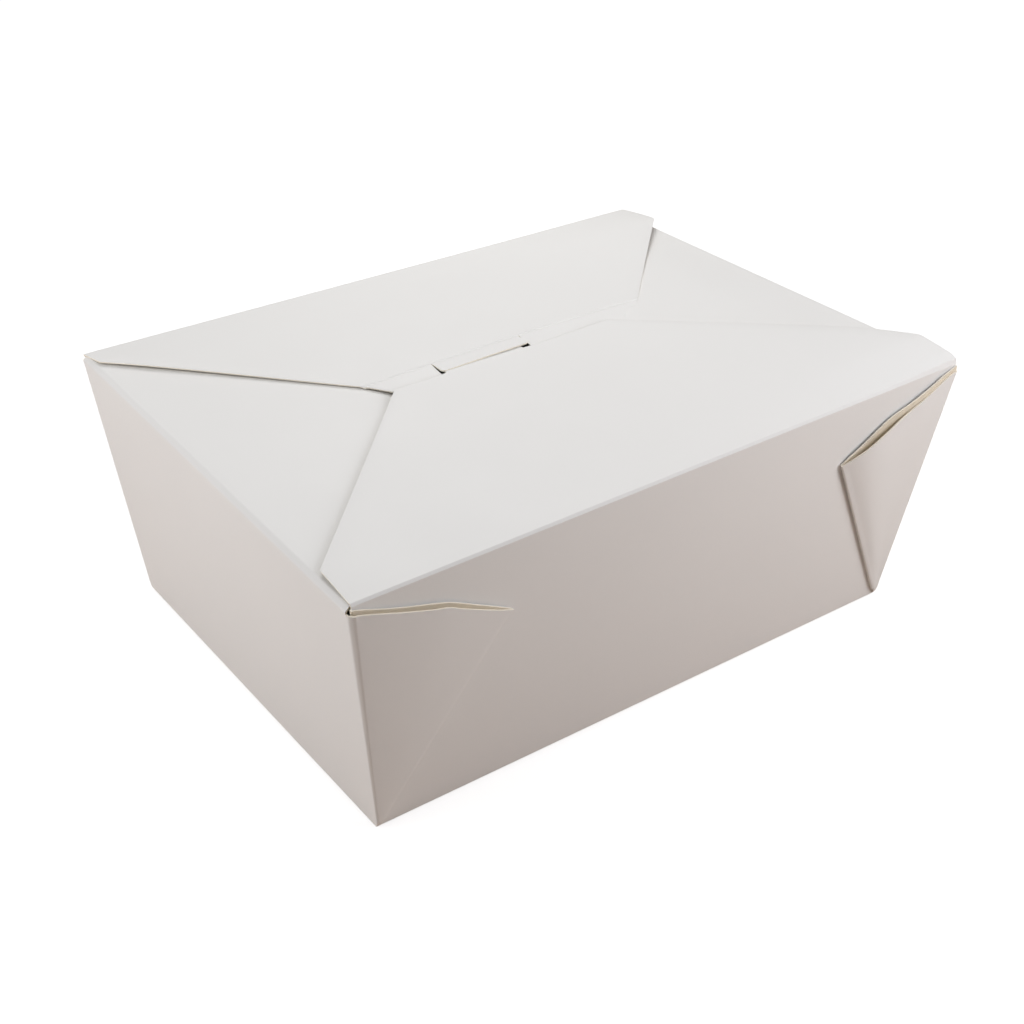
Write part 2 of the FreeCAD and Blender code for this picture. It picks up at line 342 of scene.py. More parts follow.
def rounded(points, radius):
    """Polyline with its inner corners rounded."""
    points = [np.asarray(point, float) for point in points]
    line = [points[0]]
    for before, corner, after in zip(points, points[1:], points[2:]):
        into, out = unit(corner - before), unit(after - corner)
        angle = math.acos(float(np.clip(into @ out, -1.0, 1.0)))
        line.extend(fold(corner, into, out, radius * angle, 0.0, FOLD_POINTS))
    line.append(points[-1])
    return np.array(line)


def limit_at(line, along):
    """The x of an outline at each distance from the fold."""
    return np.interp(along, line[:, 1], line[:, 0])


def eased(points, width, count=241, samples=9):
    """Line through the points with its corners softened over a width."""
    points = np.asarray(points, float)
    lengths = np.linalg.norm(np.diff(points[:, :2], axis=0), axis=1)
    run = np.concatenate([[0.0], np.cumsum(lengths)])
    even = np.linspace(0.0, run[-1], count)
    reach = np.minimum(width, np.minimum(even, run[-1] - even))
    line = np.zeros((count, points.shape[1]))
    for step in np.linspace(-1.0, 1.0, samples):
        for axis in range(points.shape[1]):
            line[:, axis] += np.interp(even + step * reach, run, points[:, axis]) / samples
    return line


def settle(points):
    """Turns the base a little against the rim, less and less toward the rim."""
    points = np.array(points, float)
    low = 1.0 - np.clip(points[..., 2] / HEIGHT, 0.0, 1.0)
    wide = np.clip(points[..., 0] / BASE_X, -1.0, 1.0)
    deep = np.clip(points[..., 1] / BASE_Y, -1.0, 1.0)
    for (side, end), (shift_x, shift_y) in BASE_SHIFTS.items():
        share = low * (1.0 + side * wide) * (1.0 + end * deep) / 4.0
        points[..., 0] += share * shift_x
        points[..., 1] += share * shift_y
    return points


class Sheet:
    """Board built from grids of points on its outer face, then given its thickness."""

    def __init__(self):
        self.mesh = bmesh.new()

    def add(self, grid, shown=None, flip=False):
        """Adds a grid of rows and columns; shown says which cells are board."""
        grid = settle(grid) / MM
        rows, columns = grid.shape[:2]
        corners = [[self.mesh.verts.new(point) for point in row] for row in grid]
        for i in range(rows - 1):
            for j in range(columns - 1):
                if shown is not None and not shown[i][j]:
                    continue
                loop = [corners[i][j], corners[i][j + 1], corners[i + 1][j + 1], corners[i + 1][j]]
                if flip:
                    loop.reverse()
                self.mesh.faces.new(loop)

    def join(self):
        """Joins the grids where they meet."""
        mesh = self.mesh
        loose = [vertex for vertex in mesh.verts if not vertex.link_faces]
        bmesh.ops.delete(mesh, geom=loose, context="VERTS")
        bmesh.ops.remove_doubles(mesh, verts=mesh.verts, dist=JOIN_DISTANCE / MM)
        bmesh.ops.dissolve_degenerate(mesh, edges=mesh.edges, dist=SLIVER / MM)
        mesh.normal_update()

    def thicken(self):
        """Adds the cut edges as material 1 and the inside as material 2."""
        mesh = self.mesh
        outer = list(mesh.verts)
        faces = list(mesh.faces)
        rims = [edge for edge in mesh.edges if len(edge.link_faces) == 1]
        inner = {v: mesh.verts.new(v.co - v.normal * BOARD / MM) for v in outer}
        for edge in rims:
            loop = edge.link_loops[0]
            first, second = loop.vert, loop.link_loop_next.vert
            made = mesh.faces.new([second, first, inner[first], inner[second]])
            made.material_index = 1
        for face in faces:
            made = mesh.faces.new([inner[v] for v in reversed(face.verts)])
            made.material_index = 2

    def shade(self):
        """Smooth faces, with sharp edges where one material meets another."""
        for face in self.mesh.faces:
            face.smooth = True
        self.mesh.normal_update()
        for edge in self.mesh.edges:
            kinds = {face.material_index for face in edge.link_faces}
            if len(kinds) > 1:
                edge.smooth = False

    def finish(self, name):
        """Makes the object."""
        self.join()
        self.thicken()
        self.shade()
        data = bpy.data.meshes.new(name)
        self.mesh.to_mesh(data)
        self.mesh.free()
        piece = bpy.data.objects.new(name, data)
        bpy.context.scene.collection.objects.link(piece)
        return piece


def wall_y(height):
    """The long walls' outer face, which swells a little toward the rim fold."""
    return BASE_Y + (RIM_Y - BASE_Y + WALL_SWELL) * height / HEIGHT


def wall_x(height):
    """The end walls' outer face."""
    return BASE_X + (RIM_X - BASE_X) * height / HEIGHT


def side_limit(height):
    """How far the long walls reach toward the end walls, leaving the slit into the webs."""
    return wall_x(height) - BOARD - CORNER_SLIT * height / HEIGHT


LONG_UP = unit((0.0, RIM_Y - BASE_Y, HEIGHT))
END_UP = unit((RIM_X - BASE_X, 0.0, HEIGHT))


def base_fold():
    """Fold from the base up to an end wall."""
    return fold((BASE_X, 0, 0), (1, 0, 0), END_UP, BASE_FOLD, BASE_BAND, FOLD_POINTS)


def long_base_fold():
    """Fold from the base up to a long wall."""
    return fold((0, BASE_Y, 0), (0, 1, 0), LONG_UP, BASE_FOLD, BASE_BAND, FOLD_POINTS)


def end_rim_fold():
    """Fold from an end wall over to its flap."""
    corner = (wall_x(END_SURFACE), 0, END_SURFACE)
    return fold(corner, END_UP, (-1, 0, 0), RIM_FOLD, RIM_BAND, RIM_POINTS)


END_TOP = float(end_rim_fold()[0][2])


def wall_heights():
    """Heights of the rows on the walls, with one at each web's tip and highest point."""
    marks = [END_TOP]
    for web in WEBS.values():
        marks.append(web["outer"][0][1])
        marks.append(web["inner"][-1][1])
    low = np.linspace(float(base_fold()[-1][2]), LOW_ROWS_TOP, LOW_ROWS)
    high = np.linspace(HIGH_ROWS_START, END_TOP, HIGH_ROWS)
    return np.unique(np.concatenate([low, high, marks]).round(4))


def wall_rows(top):
    """Half profile, at x = 0, from the middle of the base up a long wall."""
    bend = long_base_fold()
    heights = wall_heights()
    heights = heights[(heights > bend[-1][2] + ROW_GAP) & (heights < top - ROW_GAP)]
    heights = np.concatenate([heights, [top]])
    base = stretch((0, 0, 0), (0, BASE_Y - BASE_ROWS_MARGIN, 0), BASE_ROWS)
    wall = np.stack([0 * heights, wall_y(heights), heights], axis=1)
    return np.concatenate([base, bend, wall])


def opened(along, reach, softness=0.03):
    """Rises evenly from a fold and levels off at a distance from it."""
    share = along / reach
    return 0.5 * (share + 1.0 - np.sqrt((share - 1.0) ** 2 + softness)) + softness / 4.0


def groove(distance):
    """Share of a crease's depth at a distance from it."""
    return np.exp(-(distance / CREASE_WIDTH) ** 2)


def gathered(span, lefts, rights, rows, end, start, width):
    """Column lines that run to the two edges of a tongue or tab at a flap's end.

    They gather from start, a share of the flap's depth, where they are at width, a share
    of its half width.
    """
    root = end * start
    merge = smooth((rows - root) / (end - root))
    left = span[0] * merge + lefts * width * (1.0 - merge)
    right = span[1] * merge + rights * width * (1.0 - merge)
    return left, right


def corner_inset(past, radius):
    """How far a side has moved in at a rounded corner; past is 0 at the tip."""
    tip = np.clip((past + radius) / radius, 0.0, 1.0)
    return radius * (1.0 - np.sqrt(1.0 - tip ** 2))


def flap_columns(lefts, middle_left, middle_right, rights):
    """The x of a long flap's columns, the outermost pairs as close as the cut edge's roll."""
    x = np.concatenate(
        [
            across(lefts, middle_left, SIDE_COLUMNS)[:, :-1],
            across(middle_left, middle_right, MIDDLE_COLUMNS)[:, :-1],
            across(middle_right, rights, SIDE_COLUMNS),
        ],
        axis=1,
    )
    x[:, 1] = np.minimum(x[:, 0] + EDGE_ROLL, 0.5 * (x[:, 0] + x[:, 2]))
    x[:, -2] = np.maximum(x[:, -1] - EDGE_ROLL, 0.5 * (x[:, -1] + x[:, -3]))
    return x


def back_surface(x, along):
    """Upper face of the back flap at a distance from its fold."""
    share = along / BACK_CREASE
    y = RIM_Y + WALL_SWELL - along + BACK_SKEW * x * share
    droop = BACK_DROOP * share * smooth(np.abs(x - BACK_DROOP_MIDDLE) / BACK_DROOP_RUN)
    bow = BACK_BOW * np.sin(np.pi * np.clip(share, 0.0, 1.0)) - droop
    z = HEIGHT + BACK_LEVEL + BACK_RISE * share + bow
    for start, run, height, fade in BACK_LIFTS:
        lift = smooth((x - start) / run) * opened(along, BACK_LIFT_REACH)
        z = z + lift * height * (1.0 - fade * share)
    return np.stack([x, y, z - CREASE_DEPTH * groove(along - BACK_CREASE)], axis=-1)


def back_rim_fold():
    """Fold from the back wall over to the back flap."""
    level = back_surface(np.zeros(1), np.array([BACK_FOLD_REACH]))[0][2] - BACK_FOLD_RISE
    corner = (0, wall_y(level), level)
    return fold(corner, LONG_UP, (0, -1, BACK_FOLD_RISE), RIM_FOLD, RIM_BAND, RIM_POINTS)


def back_flap(bend):
    """Back flap and tongue, from the end of the rim fold."""
    left, right = rounded(BACK_LEFT, FLAP_CORNER), rounded(BACK_RIGHT, FLAP_CORNER)
    first = RIM_Y + WALL_SWELL - bend[-1][1]
    even = np.linspace(first + BACK_ROWS_START, BACK_ROWS_LAST, BACK_ROWS)
    near = np.linspace(BACK_CREASE - CREASE_ZONE, BACK_CREASE, FOLD_POINTS)
    rows = np.concatenate([[first], left[:, 1], right[:, 1], even, near])
    rows = np.unique(rows[(rows >= first) & (rows <= BACK_CREASE)].round(4))
    beyond = np.linspace(BACK_CREASE, BACK_CREASE + TONGUE_LENGTH, TONGUE_ROWS + 1)[1:]
    rows = np.concatenate([rows, beyond])
    lefts, rights = limit_at(left, rows), limit_at(right, rows)
    middle = gathered(TONGUE, lefts, rights, rows, BACK_CREASE, start=0.55, width=0.25)
    corner = corner_inset(rows - BACK_CREASE - TONGUE_LENGTH, TONGUE_CORNER)
    x = flap_columns(lefts, middle[0] + corner, middle[1] - corner, rights)
    flap = back_surface(x, rows[:, None] + 0 * x)
    flap[:, [0, -1], 2] -= EDGE_DROP
    return flap


def long_walls(top, shares):
    """Front wall, base and back wall up to a height, in columns at shares of their width."""
    front, back = wall_rows(HEIGHT), wall_rows(top)
    profile = np.concatenate([front[::-1] * (1, -1, 1), back[1:]])
    limits = np.where(profile[:, 2] <= 0.0, base_fold()[0][0], side_limit(profile[:, 2]))
    walls = np.zeros((len(profile), len(shares), 3))
    walls[..., 0] = limits[:, None] * (2.0 * shares[None, :] - 1.0)
    walls[..., 1] = profile[:, 1:2]
    walls[..., 2] = profile[:, 2:3]
    return walls


def rim_turn(bend, wall, flap):
    """Rim fold between a wall's last row and a flap's first, easing from one width to the other."""
    share = smooth(np.linspace(0.0, 1.0, len(bend)) * RIM_EASE)[:, None]
    turn = np.zeros((len(bend), len(wall), 3))
    turn[..., 0] = wall[:, 0] * (1.0 - share) + flap[:, 0] * share
    turn[..., 1] = bend[:, 1:2]
    turn[..., 2] = bend[:, 2:3] + (flap[:, 2] - bend[-1][2]) * share
    return turn


def add_long_panels(sheet):
    """Base, front wall, back wall and back flap to its crease, with the tongue beyond it."""
    bend = back_rim_fold()
    flap = back_flap(bend)
    first = flap[0, :, 0]
    shares = (first - first[0]) / (first[-1] - first[0])
    walls = long_walls(float(bend[0][2]), shares)
    turn = rim_turn(bend, walls[-1], flap[0])
    grid = np.concatenate([walls, turn[1:-1], flap])
    shown = np.ones((len(grid) - 1, len(shares) - 1), bool)
    crease = len(grid) - 1 - TONGUE_ROWS
    shown[crease:, :FIRST_MIDDLE] = False
    shown[crease:, LAST_MIDDLE:] = False
    sheet.add(grid, shown, flip=True)


def add_strip(sheet):
    """Strip beyond the back flap's crease, cut round the tongue and folded down a little."""
    left, right = rounded(STRIP_LEFT, FLAP_CORNER), rounded(STRIP_RIGHT, FLAP_CORNER)
    slit_end = TONGUE_LENGTH + SLIT_PAST_TONGUE
    stops = (0.0, CREASE_ZONE, slit_end, STRIP_DEPTH)
    stages = zip(stops, stops[1:], STRIP_ROWS)
    rows = np.concatenate([np.linspace(start, end, count) for start, end, count in stages])
    rows = np.unique(rows.round(4))
    lefts, rights = limit_at(left, rows), limit_at(right, rows)
    slit_left = np.full(len(rows), TONGUE[0] - TONGUE_SLIT)
    slit_right = np.full(len(rows), TONGUE[1] + TONGUE_SLIT)
    slit_left[0], slit_right[0] = TONGUE
    x = flap_columns(lefts, slit_left, slit_right, rights)
    grid = back_surface(x, BACK_CREASE + 0 * x)
    grid[:, [0, -1], 2] -= EDGE_DROP
    run = rows[:, None] + 0 * x
    slope = np.sin(STRIP_FALL * smooth(run / STRIP_BEND))
    steps = 0.5 * (slope[1:] + slope[:-1]) * np.diff(run, axis=0)
    fall = np.concatenate([np.zeros((1, x.shape[1])), np.cumsum(steps, axis=0)])
    grid[..., 1] -= run
    grid[..., 2] -= fall + CREASE_DEPTH * (groove(run) - 1.0)
    shown = np.ones((len(rows) - 1, x.shape[1] - 1), bool)
    shown[rows[:-1] < slit_end - HAIR, FIRST_MIDDLE:LAST_MIDDLE] = False
    sheet.add(grid, shown, flip=True)


def fan(x, height):
    """Direction and distance of points from the base corner, where the webs' creases meet."""
    return np.arctan2(x - BASE_X, height), np.hypot(x - BASE_X, height)


class Web:
    """One layer of a web, spread like a fan from the base corner to its cut top edge."""

    def __init__(self, edge, stack):
        self.edge = eased(edge, EDGE_SOFTNESS)
        self.stack = stack
        corner = (float(wall_x(edge[-1][1])), edge[-1][1], edge[-1][2])
        line = np.concatenate([self.edge, [corner]])
        self.angles, self.reach = fan(line[:, 0], line[:, 1])
        gape = eased(line, GAPE_SOFTNESS)
        self.offsets = gape[:, 2]
        self.turns = fan(gape[:, 0], gape[:, 1])[0]

    def limit(self, height):
        """How far the layer reaches in from the corner."""
        tip_x, tip_height = self.edge[0][:2]
        if height <= tip_height:
            return float(BASE_X + (tip_x - BASE_X) * height / tip_height)
        return float(np.interp(height, self.edge[:, 1], self.edge[:, 0]))

    def offset(self, x, height):
        """How far the layer's coated face stands off the wall's face."""
        angle, distance = fan(x, height)
        share = np.clip(distance / np.interp(angle, self.angles, self.reach), 0.0, 1.0)
        top = np.interp(angle, self.turns, self.offsets)
        return (share * top + (1.0 - share) * self.stack) * smooth(height / WEB_ROOT)


def on_wall(x, height, offset, end):
    """Point over the face of a long wall, offset outward; end is -1 for the front wall."""
    out = unit((0.0, HEIGHT, BASE_Y - RIM_Y))
    spot = np.stack([x, wall_y(height) + 0 * x, height + 0 * x], axis=-1)
    spot = spot + np.broadcast_to(offset, x.shape)[..., None] * out
    spot[..., 1] *= end
    return spot


def on_layer(layer, x, height, end):
    """Point on a web's layer."""
    return on_wall(x, height, layer.offset(x, height), end)


def hem(inner, height, end):
    """Where the inner layer turns back into the long wall's side edge."""
    last = float(side_limit(height))
    back = float(inner.offset(np.array(last), height))
    turn = np.linspace(0.0, np.pi, HEM + 1)[:0:-1]
    x = last + back / 2.0 * np.sin(turn)
    return on_wall(x, height, back / 2.0 * (1.0 + np.cos(turn)), end)


def inner_layer(inner, height, end):
    """The layer that lies against the long wall, from the hem to the fold or the cut edge."""
    last = float(side_limit(height))
    tip = min(inner.limit(height), float(wall_x(height)) - WEB_MARGIN)
    x = np.linspace(last, min(tip, last - LEAST_INNER), INNER)
    return on_layer(inner, x, height, end)


def spine(tip, limit, height, back, face, end):
    """The fold along the diagonal, half round from the inner layer to the outer one."""
    away = unit((-tip[1], 0.0, tip[0] - BASE_X))
    out = unit((0.0, HEIGHT * end, BASE_Y - RIM_Y))
    centre = on_wall(np.array([limit]), height, (back + face) / 2.0, end)[0]
    turn = np.linspace(np.pi, 0.0, SPINE)[:, None]
    return centre + (face - back) / 2.0 * (np.cos(turn) * out + np.sin(turn) * away)


def corner_bend(side, outer, limit, height, end):
    """The outer layer's bend round the box's corner, tighter near the base and the fold."""
    edge = float(wall_x(height))
    corner = on_layer(outer, np.array([edge]), height, end)[0]
    inward = on_layer(outer, np.array([edge - CORNER_PROBE]), height, end)[0]
    length = min(
        WEBS[side]["corner"] * (CORNER_AT_BASE + (1.0 - CORNER_AT_BASE) * height / HEIGHT),
        CORNER_LEAST + CORNER_GROWTH * height,
        CORNER_MOST * (edge - limit),
    )
    return fold(corner, (0, end, 0), inward - corner, length, CORNER_BAND, BEND)[::-1]


def web_row(side, outer, inner, height, end):
    """One row of a web, from the hem through both layers to the corner's bend."""
    limit = min(outer.limit(height), float(wall_x(height)) - WEB_MARGIN)
    tip = outer.edge[0]
    share = smooth(height / EASE_HEIGHT) * smooth((tip[1] - height) / EASE_TIP)
    ease = WEBS[side]["ease"] * share
    back = float(inner.offset(np.array(limit), height))
    face = float(outer.offset(np.array(limit), height)) - ease
    bend = corner_bend(side, outer, limit, height, end)
    x = limit + max(bend[0][0] - limit, 0.0) * np.linspace(0.0, 1.0, OUTER) ** 2
    offset = outer.offset(x, height) - ease * np.exp(-((x - limit) / EASE_WIDTH) ** 2)
    outer_layer = on_wall(x, height, offset, end)
    outer_layer[-1] = bend[0]
    return np.concatenate(
        [
            hem(inner, height, end),
            inner_layer(inner, height, end),
            spine(tip, limit, height, back, face, end),
            outer_layer,
            bend,
        ]
    )


def end_rows():
    """Rows of one end as (x, z, y limit), first round the base fold and then up the wall.

    On the wall there is no limit, because the webs go on from it.
    """
    base = base_fold()
    low = long_base_fold()[0][1]
    rows = []
    for index, point in enumerate(base[:-1]):
        limit = low + (wall_y(base[-1][2]) - low) * smooth(index / (FOLD_POINTS - 1.0))
        rows.append((point[0], point[2], limit))
    rows.extend((float(wall_x(height)), float(height), None) for height in wall_heights())
    return rows


def end_row(side, outer, inner, x, z, limit):
    """One row from the front web's hem round the end wall to the back web's hem."""
    if limit is None:
        front, back = (web_row(side, outer, inner, z, end) for end in (-1, 1))
    else:
        front, back = (np.repeat([[x, limit * end, z]], WEB_END, axis=0) for end in (-1, 1))
    reach = min(abs(front[-1][1]), abs(back[-1][1])) - WEB_MARGIN
    half = min(END_FLAP[0][0], reach)
    middle = stretch((x, -half, z), (x, half, z), END_COLUMNS)
    lead = stretch(front[-1], middle[0], LEAD + 2)[1:-1]
    trail = stretch(middle[-1], back[-1], LEAD + 2)[1:-1]
    return np.concatenate([front, lead, middle, trail, back[::-1]])


def end_cells(side, outer, z, limit):
    """Which cells above a row are board.

    Round the base fold that is only the end wall, then the outer layers too as far as the webs'
    start. Above the tip there is no spine, and above the end wall only the inner layers go on.
    """
    cells = np.ones(2 * (WEB_END + LEAD) + END_COLUMNS - 1, bool)
    for order in (cells, cells[::-1]):
        if limit is not None:
            order[:WEB_END - 1] = False
        elif z < WEB_START:
            order[:OUTER_START] = False
        elif z > outer.edge[0][1] - HAIR:
            order[INNER_END:OUTER_START] = False
    if z > END_TOP - TOP_HAIR:
        cells[INNER_END:-INNER_END] = False
    if z > WEBS[side]["inner"][-1][1] - TOP_HAIR:
        cells[:] = False
    return cells


def end_surface(side, along):
    """Height of an end flap at a distance from its fold; it rests under the long flaps."""
    share = along / END_FLAP[-1][1]
    peak, sag = END_LIFT[side]
    rise = peak * (smooth(share * END_LIFT_SPEED) - sag * share ** 2)
    return END_SURFACE + rise - STRIP_ROOM * smooth((along - STRIP_ROOM_START) / STRIP_ROOM_RUN)


def end_flap(side, top):
    """Rim fold and end flap, from the end wall's top row."""
    turn = end_rim_fold()
    line = rounded(END_FLAP, FLAP_CORNER)
    first = float(wall_x(END_SURFACE) - turn[-1][0])
    even = np.linspace(first, END_ROWS_LAST, END_ROWS)
    along = np.unique(np.concatenate([even, line[line[:, 1] > first][:, 1]]).round(4))
    half = limit_at(line, along)
    half[-1] = half[-2] - END_EDGE_STEP
    bend = np.zeros((len(turn), END_COLUMNS, 3))
    bend[..., 0] = side * turn[:, :1]
    bend[..., 1] = top[:, 1]
    bend[..., 2] = turn[:, 2:]
    bend[0] = top
    flap = np.zeros((len(along), END_COLUMNS, 3))
    flap[..., 0] = side * (wall_x(END_SURFACE) - along)[:, None]
    flap[..., 1] = np.linspace(-1.0, 1.0, END_COLUMNS)[None, :] * half[:, None]
    flap[..., 2] = end_surface(side, along)[:, None]
    return np.concatenate([bend[:-1], flap])


def add_end(sheet, side):
    """One end wall with its end flap and the two webs that wrap round its corners."""
    outer = Web(WEBS[side]["outer"], OUTER_STACK)
    inner = Web(WEBS[side]["inner"], INNER_STACK)
    rows = end_rows()
    grid = np.array([end_row(side, outer, inner, *row) for row in rows])
    grid[..., 0] *= side
    shown = [end_cells(side, outer, z, limit) for x, z, limit in rows]
    sheet.add(grid, shown[:-1], flip=side < 0)
    level = int(np.argmin([abs(z - END_TOP) for x, z, limit in rows]))
    first = WEB_END + LEAD
    flap = end_flap(side, grid[level, first:first + END_COLUMNS])
    sheet.add(flap, flip=side < 0)


def make_carton():
    """Everything that doesn't turn with the front flap."""
    sheet = Sheet()
    add_long_panels(sheet)
    add_strip(sheet)
    for side in (-1, 1):
        add_end(sheet, side)
    piece = sheet.finish("folded_carton")
    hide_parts("carton")
    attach(piece, "carton")
    return piece


def front_surface(x, along):
    """Upper face of the front flap at a distance from its fold."""
    share = along / FRONT_DEPTH
    y = -RIM_Y + along + FRONT_SKEW * x * share
    bow = FRONT_BOW * np.sin(np.pi * np.clip(share, 0.0, 1.0))
    root = SPRING_ROOT + (1.0 - SPRING_ROOT) * smooth(along / SPRING_REACH)
    spring = SPRING * smooth((x - SPRING_START) / SPRING_RUN) * root
    start, run, height = FRONT_RIGHT_LIFT
    opening = opened(along, FRONT_LIFT_REACH)
    right = smooth((x - start) / run) * (spring + (1.0 - spring) * opening)
    right = height * (right * (1.0 - FRONT_RIGHT_FADE * smooth(share)))
    start, run, height = FRONT_LEFT_LIFT
    left = height * (smooth((x - start) / run) * opening * (1.0 - share))
    z = HEIGHT + WALL_SWELL + FRONT_RISE * share + bow + right + left
    return np.stack([x, y, z], axis=-1)


def front_flap():
    """Front flap and tab, as a grid and which of its cells are board."""
    left, right = rounded(FRONT_LEFT, FLAP_CORNER), rounded(FRONT_RIGHT, FLAP_CORNER)
    even = np.linspace(0.0, FRONT_DEPTH - FRONT_ROWS_MARGIN, FRONT_ROWS)
    rows = np.concatenate([left[:, 1], right[:, 1], even, [FRONT_DEPTH - EDGE_ROLL]])
    beyond = np.linspace(FRONT_DEPTH, FRONT_DEPTH + TAB_LENGTH, TAB_ROWS + 1)[1:]
    rows = np.concatenate([np.unique(rows.round(4)), beyond])
    lefts, rights = limit_at(left, rows), limit_at(right, rows)
    last = int(np.argmin(np.abs(rows - FRONT_DEPTH)))
    lefts[last], rights[last] = lefts[last - 1] + FRONT_EDGE_STEP, rights[last - 1] - FRONT_EDGE_STEP
    middle = gathered(TAB, lefts, rights, rows, FRONT_DEPTH, start=0.5, width=0.3)
    corner = corner_inset(rows - FRONT_DEPTH - TAB_LENGTH, TAB_CORNER)
    x = flap_columns(lefts, middle[0] + corner, middle[1] - corner, rights)
    grid = front_surface(x, rows[:, None] + 0 * x)
    grid[1:, [0, -1], 2] -= EDGE_DROP
    roll = EDGE_DROP * np.clip((rows - FRONT_DEPTH) / EDGE_ROLL + 1.0, 0.0, 1.0)[:, None]
    grid[:, 1:FIRST_MIDDLE, 2] -= roll
    grid[:, LAST_MIDDLE + 1:-1, 2] -= roll
    grid[..., 2] -= (TAB_FALL * np.clip(rows - FRONT_DEPTH, 0.0, None))[:, None]
    shown = np.ones((len(rows) - 1, x.shape[1] - 1), bool)
    on_tab = rows[:-1] >= FRONT_DEPTH - HAIR
    shown[on_tab, :FIRST_MIDDLE] = False
    shown[on_tab, LAST_MIDDLE:] = False
    return grid, shown


def front_fold(first):
    """Fold round the hinge line, from the front wall's face to the flap's first row."""
    x = first[:, 0]
    rise = first[:, 2] - HEIGHT - WALL_SWELL
    bend = []
    for angle in np.linspace(FRONT_FOLD_START, math.pi / 2.0, FRONT_FOLD_POINTS):
        flat = FRONT_FOLD_FLATNESS * WALL_SWELL / math.cos(angle - math.pi / 4.0)
        radius = min(WALL_SWELL, flat)
        y = -RIM_Y - radius * math.cos(angle)
        z = HEIGHT + radius * math.sin(angle) + rise * smooth(angle / FRONT_FOLD_RISE_END)
        bend.append(np.stack([x, 0 * x + y, z], axis=-1))
    bend[-1] = first
    return np.array(bend)


def make_front_flap():
    """The front flap with its fold and its tab, which turn together."""
    sheet = Sheet()
    grid, shown = front_flap()
    sheet.add(grid, shown)
    sheet.add(front_fold(grid[0]))
    piece = sheet.finish("front_flap_board")
    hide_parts("front_flap", "lock_tab")
    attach(piece, "front_flap")
    return piece


# Paper noises as (scale per metre, detail, roughness): cloudy tone, flecks, sheen and fibres.
CLOUDS = (14.0, 3.0, 0.5)
FLECKS = (2600.0, 4.0, 0.7)
SHEEN = (60.0, 3.0, 0.5)
FIBRES = (1800.0, 3.0, 0.6)
NOISE_RANGE = (0.3, 0.7)
FLECK_WARMTH = 1.1
SHEEN_SPREAD = (-0.03, 0.04)
FIBRE_HEIGHT = 0.00003
PAPER_SPECULAR = 0.3


def noise(tree, place, settings):
    """Noise over the piece's own coordinates."""
    node = tree.nodes.new("ShaderNodeTexNoise")
    for name, value in zip(("Scale", "Detail", "Roughness"), settings):
        node.inputs[name].default_value = value
    tree.links.new(place.outputs["Object"], node.inputs["Vector"])
    return node.outputs["Fac"]


def spread(tree, source, before, after):
    """Value carried from one range to another."""
    node = tree.nodes.new("ShaderNodeMapRange")
    names = ("From Min", "From Max", "To Min", "To Max")
    for name, value in zip(names, (*before, *after)):
        node.inputs[name].default_value = value
    tree.links.new(source, node.inputs["Value"])
    return node.outputs["Result"]


def colour_mix(tree, kind, factor, second):
    """Mix of two colours whose second one is given and whose first one is still open."""
    node = tree.nodes.new("ShaderNodeMix")
    node.data_type = "RGBA"
    node.blend_type = kind
    node.inputs["B"].default_value = second
    tree.links.new(factor, node.inputs["Factor"])
    return node


def paper(name, colour, roughness, mottle, grain, fibres):
    """Paper with cloudy tone, fine flecks and a surface that is not quite even."""
    made = bpy.data.materials.new(name)
    made.use_nodes = True
    tree = made.node_tree
    shader = tree.nodes["Principled BSDF"]
    shader.inputs["Specular IOR Level"].default_value = PAPER_SPECULAR
    place = tree.nodes.new("ShaderNodeTexCoord")

    # Colour.
    dark = tuple(value * (1.0 - mottle) for value in colour) + (1.0,)
    light = tuple(min(value * (1.0 + mottle), 1.0) for value in colour) + (1.0,)
    fleck = (1.0 - grain, 1.0 - grain, 1.0 - grain * FLECK_WARMTH, 1.0)
    cloudy = spread(tree, noise(tree, place, CLOUDS), NOISE_RANGE, (0.0, 1.0))
    flecked = spread(tree, noise(tree, place, FLECKS), NOISE_RANGE, (1.0, 0.0))
    tone = colour_mix(tree, "MIX", cloudy, light)
    tone.inputs["A"].default_value = dark
    tinted = colour_mix(tree, "MULTIPLY", flecked, fleck)
    tree.links.new(tone.outputs["Result"], tinted.inputs["A"])
    tree.links.new(tinted.outputs["Result"], shader.inputs["Base Color"])

    # Sheen and fibres.
    sheen = [roughness + change for change in SHEEN_SPREAD]
    uneven = spread(tree, noise(tree, place, SHEEN), NOISE_RANGE, sheen)
    tree.links.new(uneven, shader.inputs["Roughness"])
    bump = tree.nodes.new("ShaderNodeBump")
    bump.inputs["Strength"].default_value = fibres
    bump.inputs["Distance"].default_value = FIBRE_HEIGHT
    tree.links.new(noise(tree, place, FIBRES), bump.inputs["Height"])
    tree.links.new(bump.outputs["Normal"], shader.inputs["Normal"])
    return made


def coated_board():
    """White coated outside."""
    colour = (0.855, 0.845, 0.832)
    return paper("coated_board", colour, roughness=0.6, mottle=0.006, grain=0.012, fibres=0.25)


def cut_edge():
    """Cream core of the board, seen where it is cut."""
    colour = (0.92, 0.86, 0.75)
    return paper("cut_edge", colour, roughness=0.8, mottle=0.03, grain=0.05, fibres=0.8)


def uncoated_inside():
    """Cream uncoated inside."""
    colour = (0.82, 0.735, 0.60)
    return paper("uncoated_inside", colour, roughness=0.75, mottle=0.01, grain=0.03, fibres=0.6)


def dress(piece, materials):
    """Coated outside, cream cut edges and uncoated inside, in the order of the mesh's indices."""
    for made in materials:
        piece.data.materials.append(made)


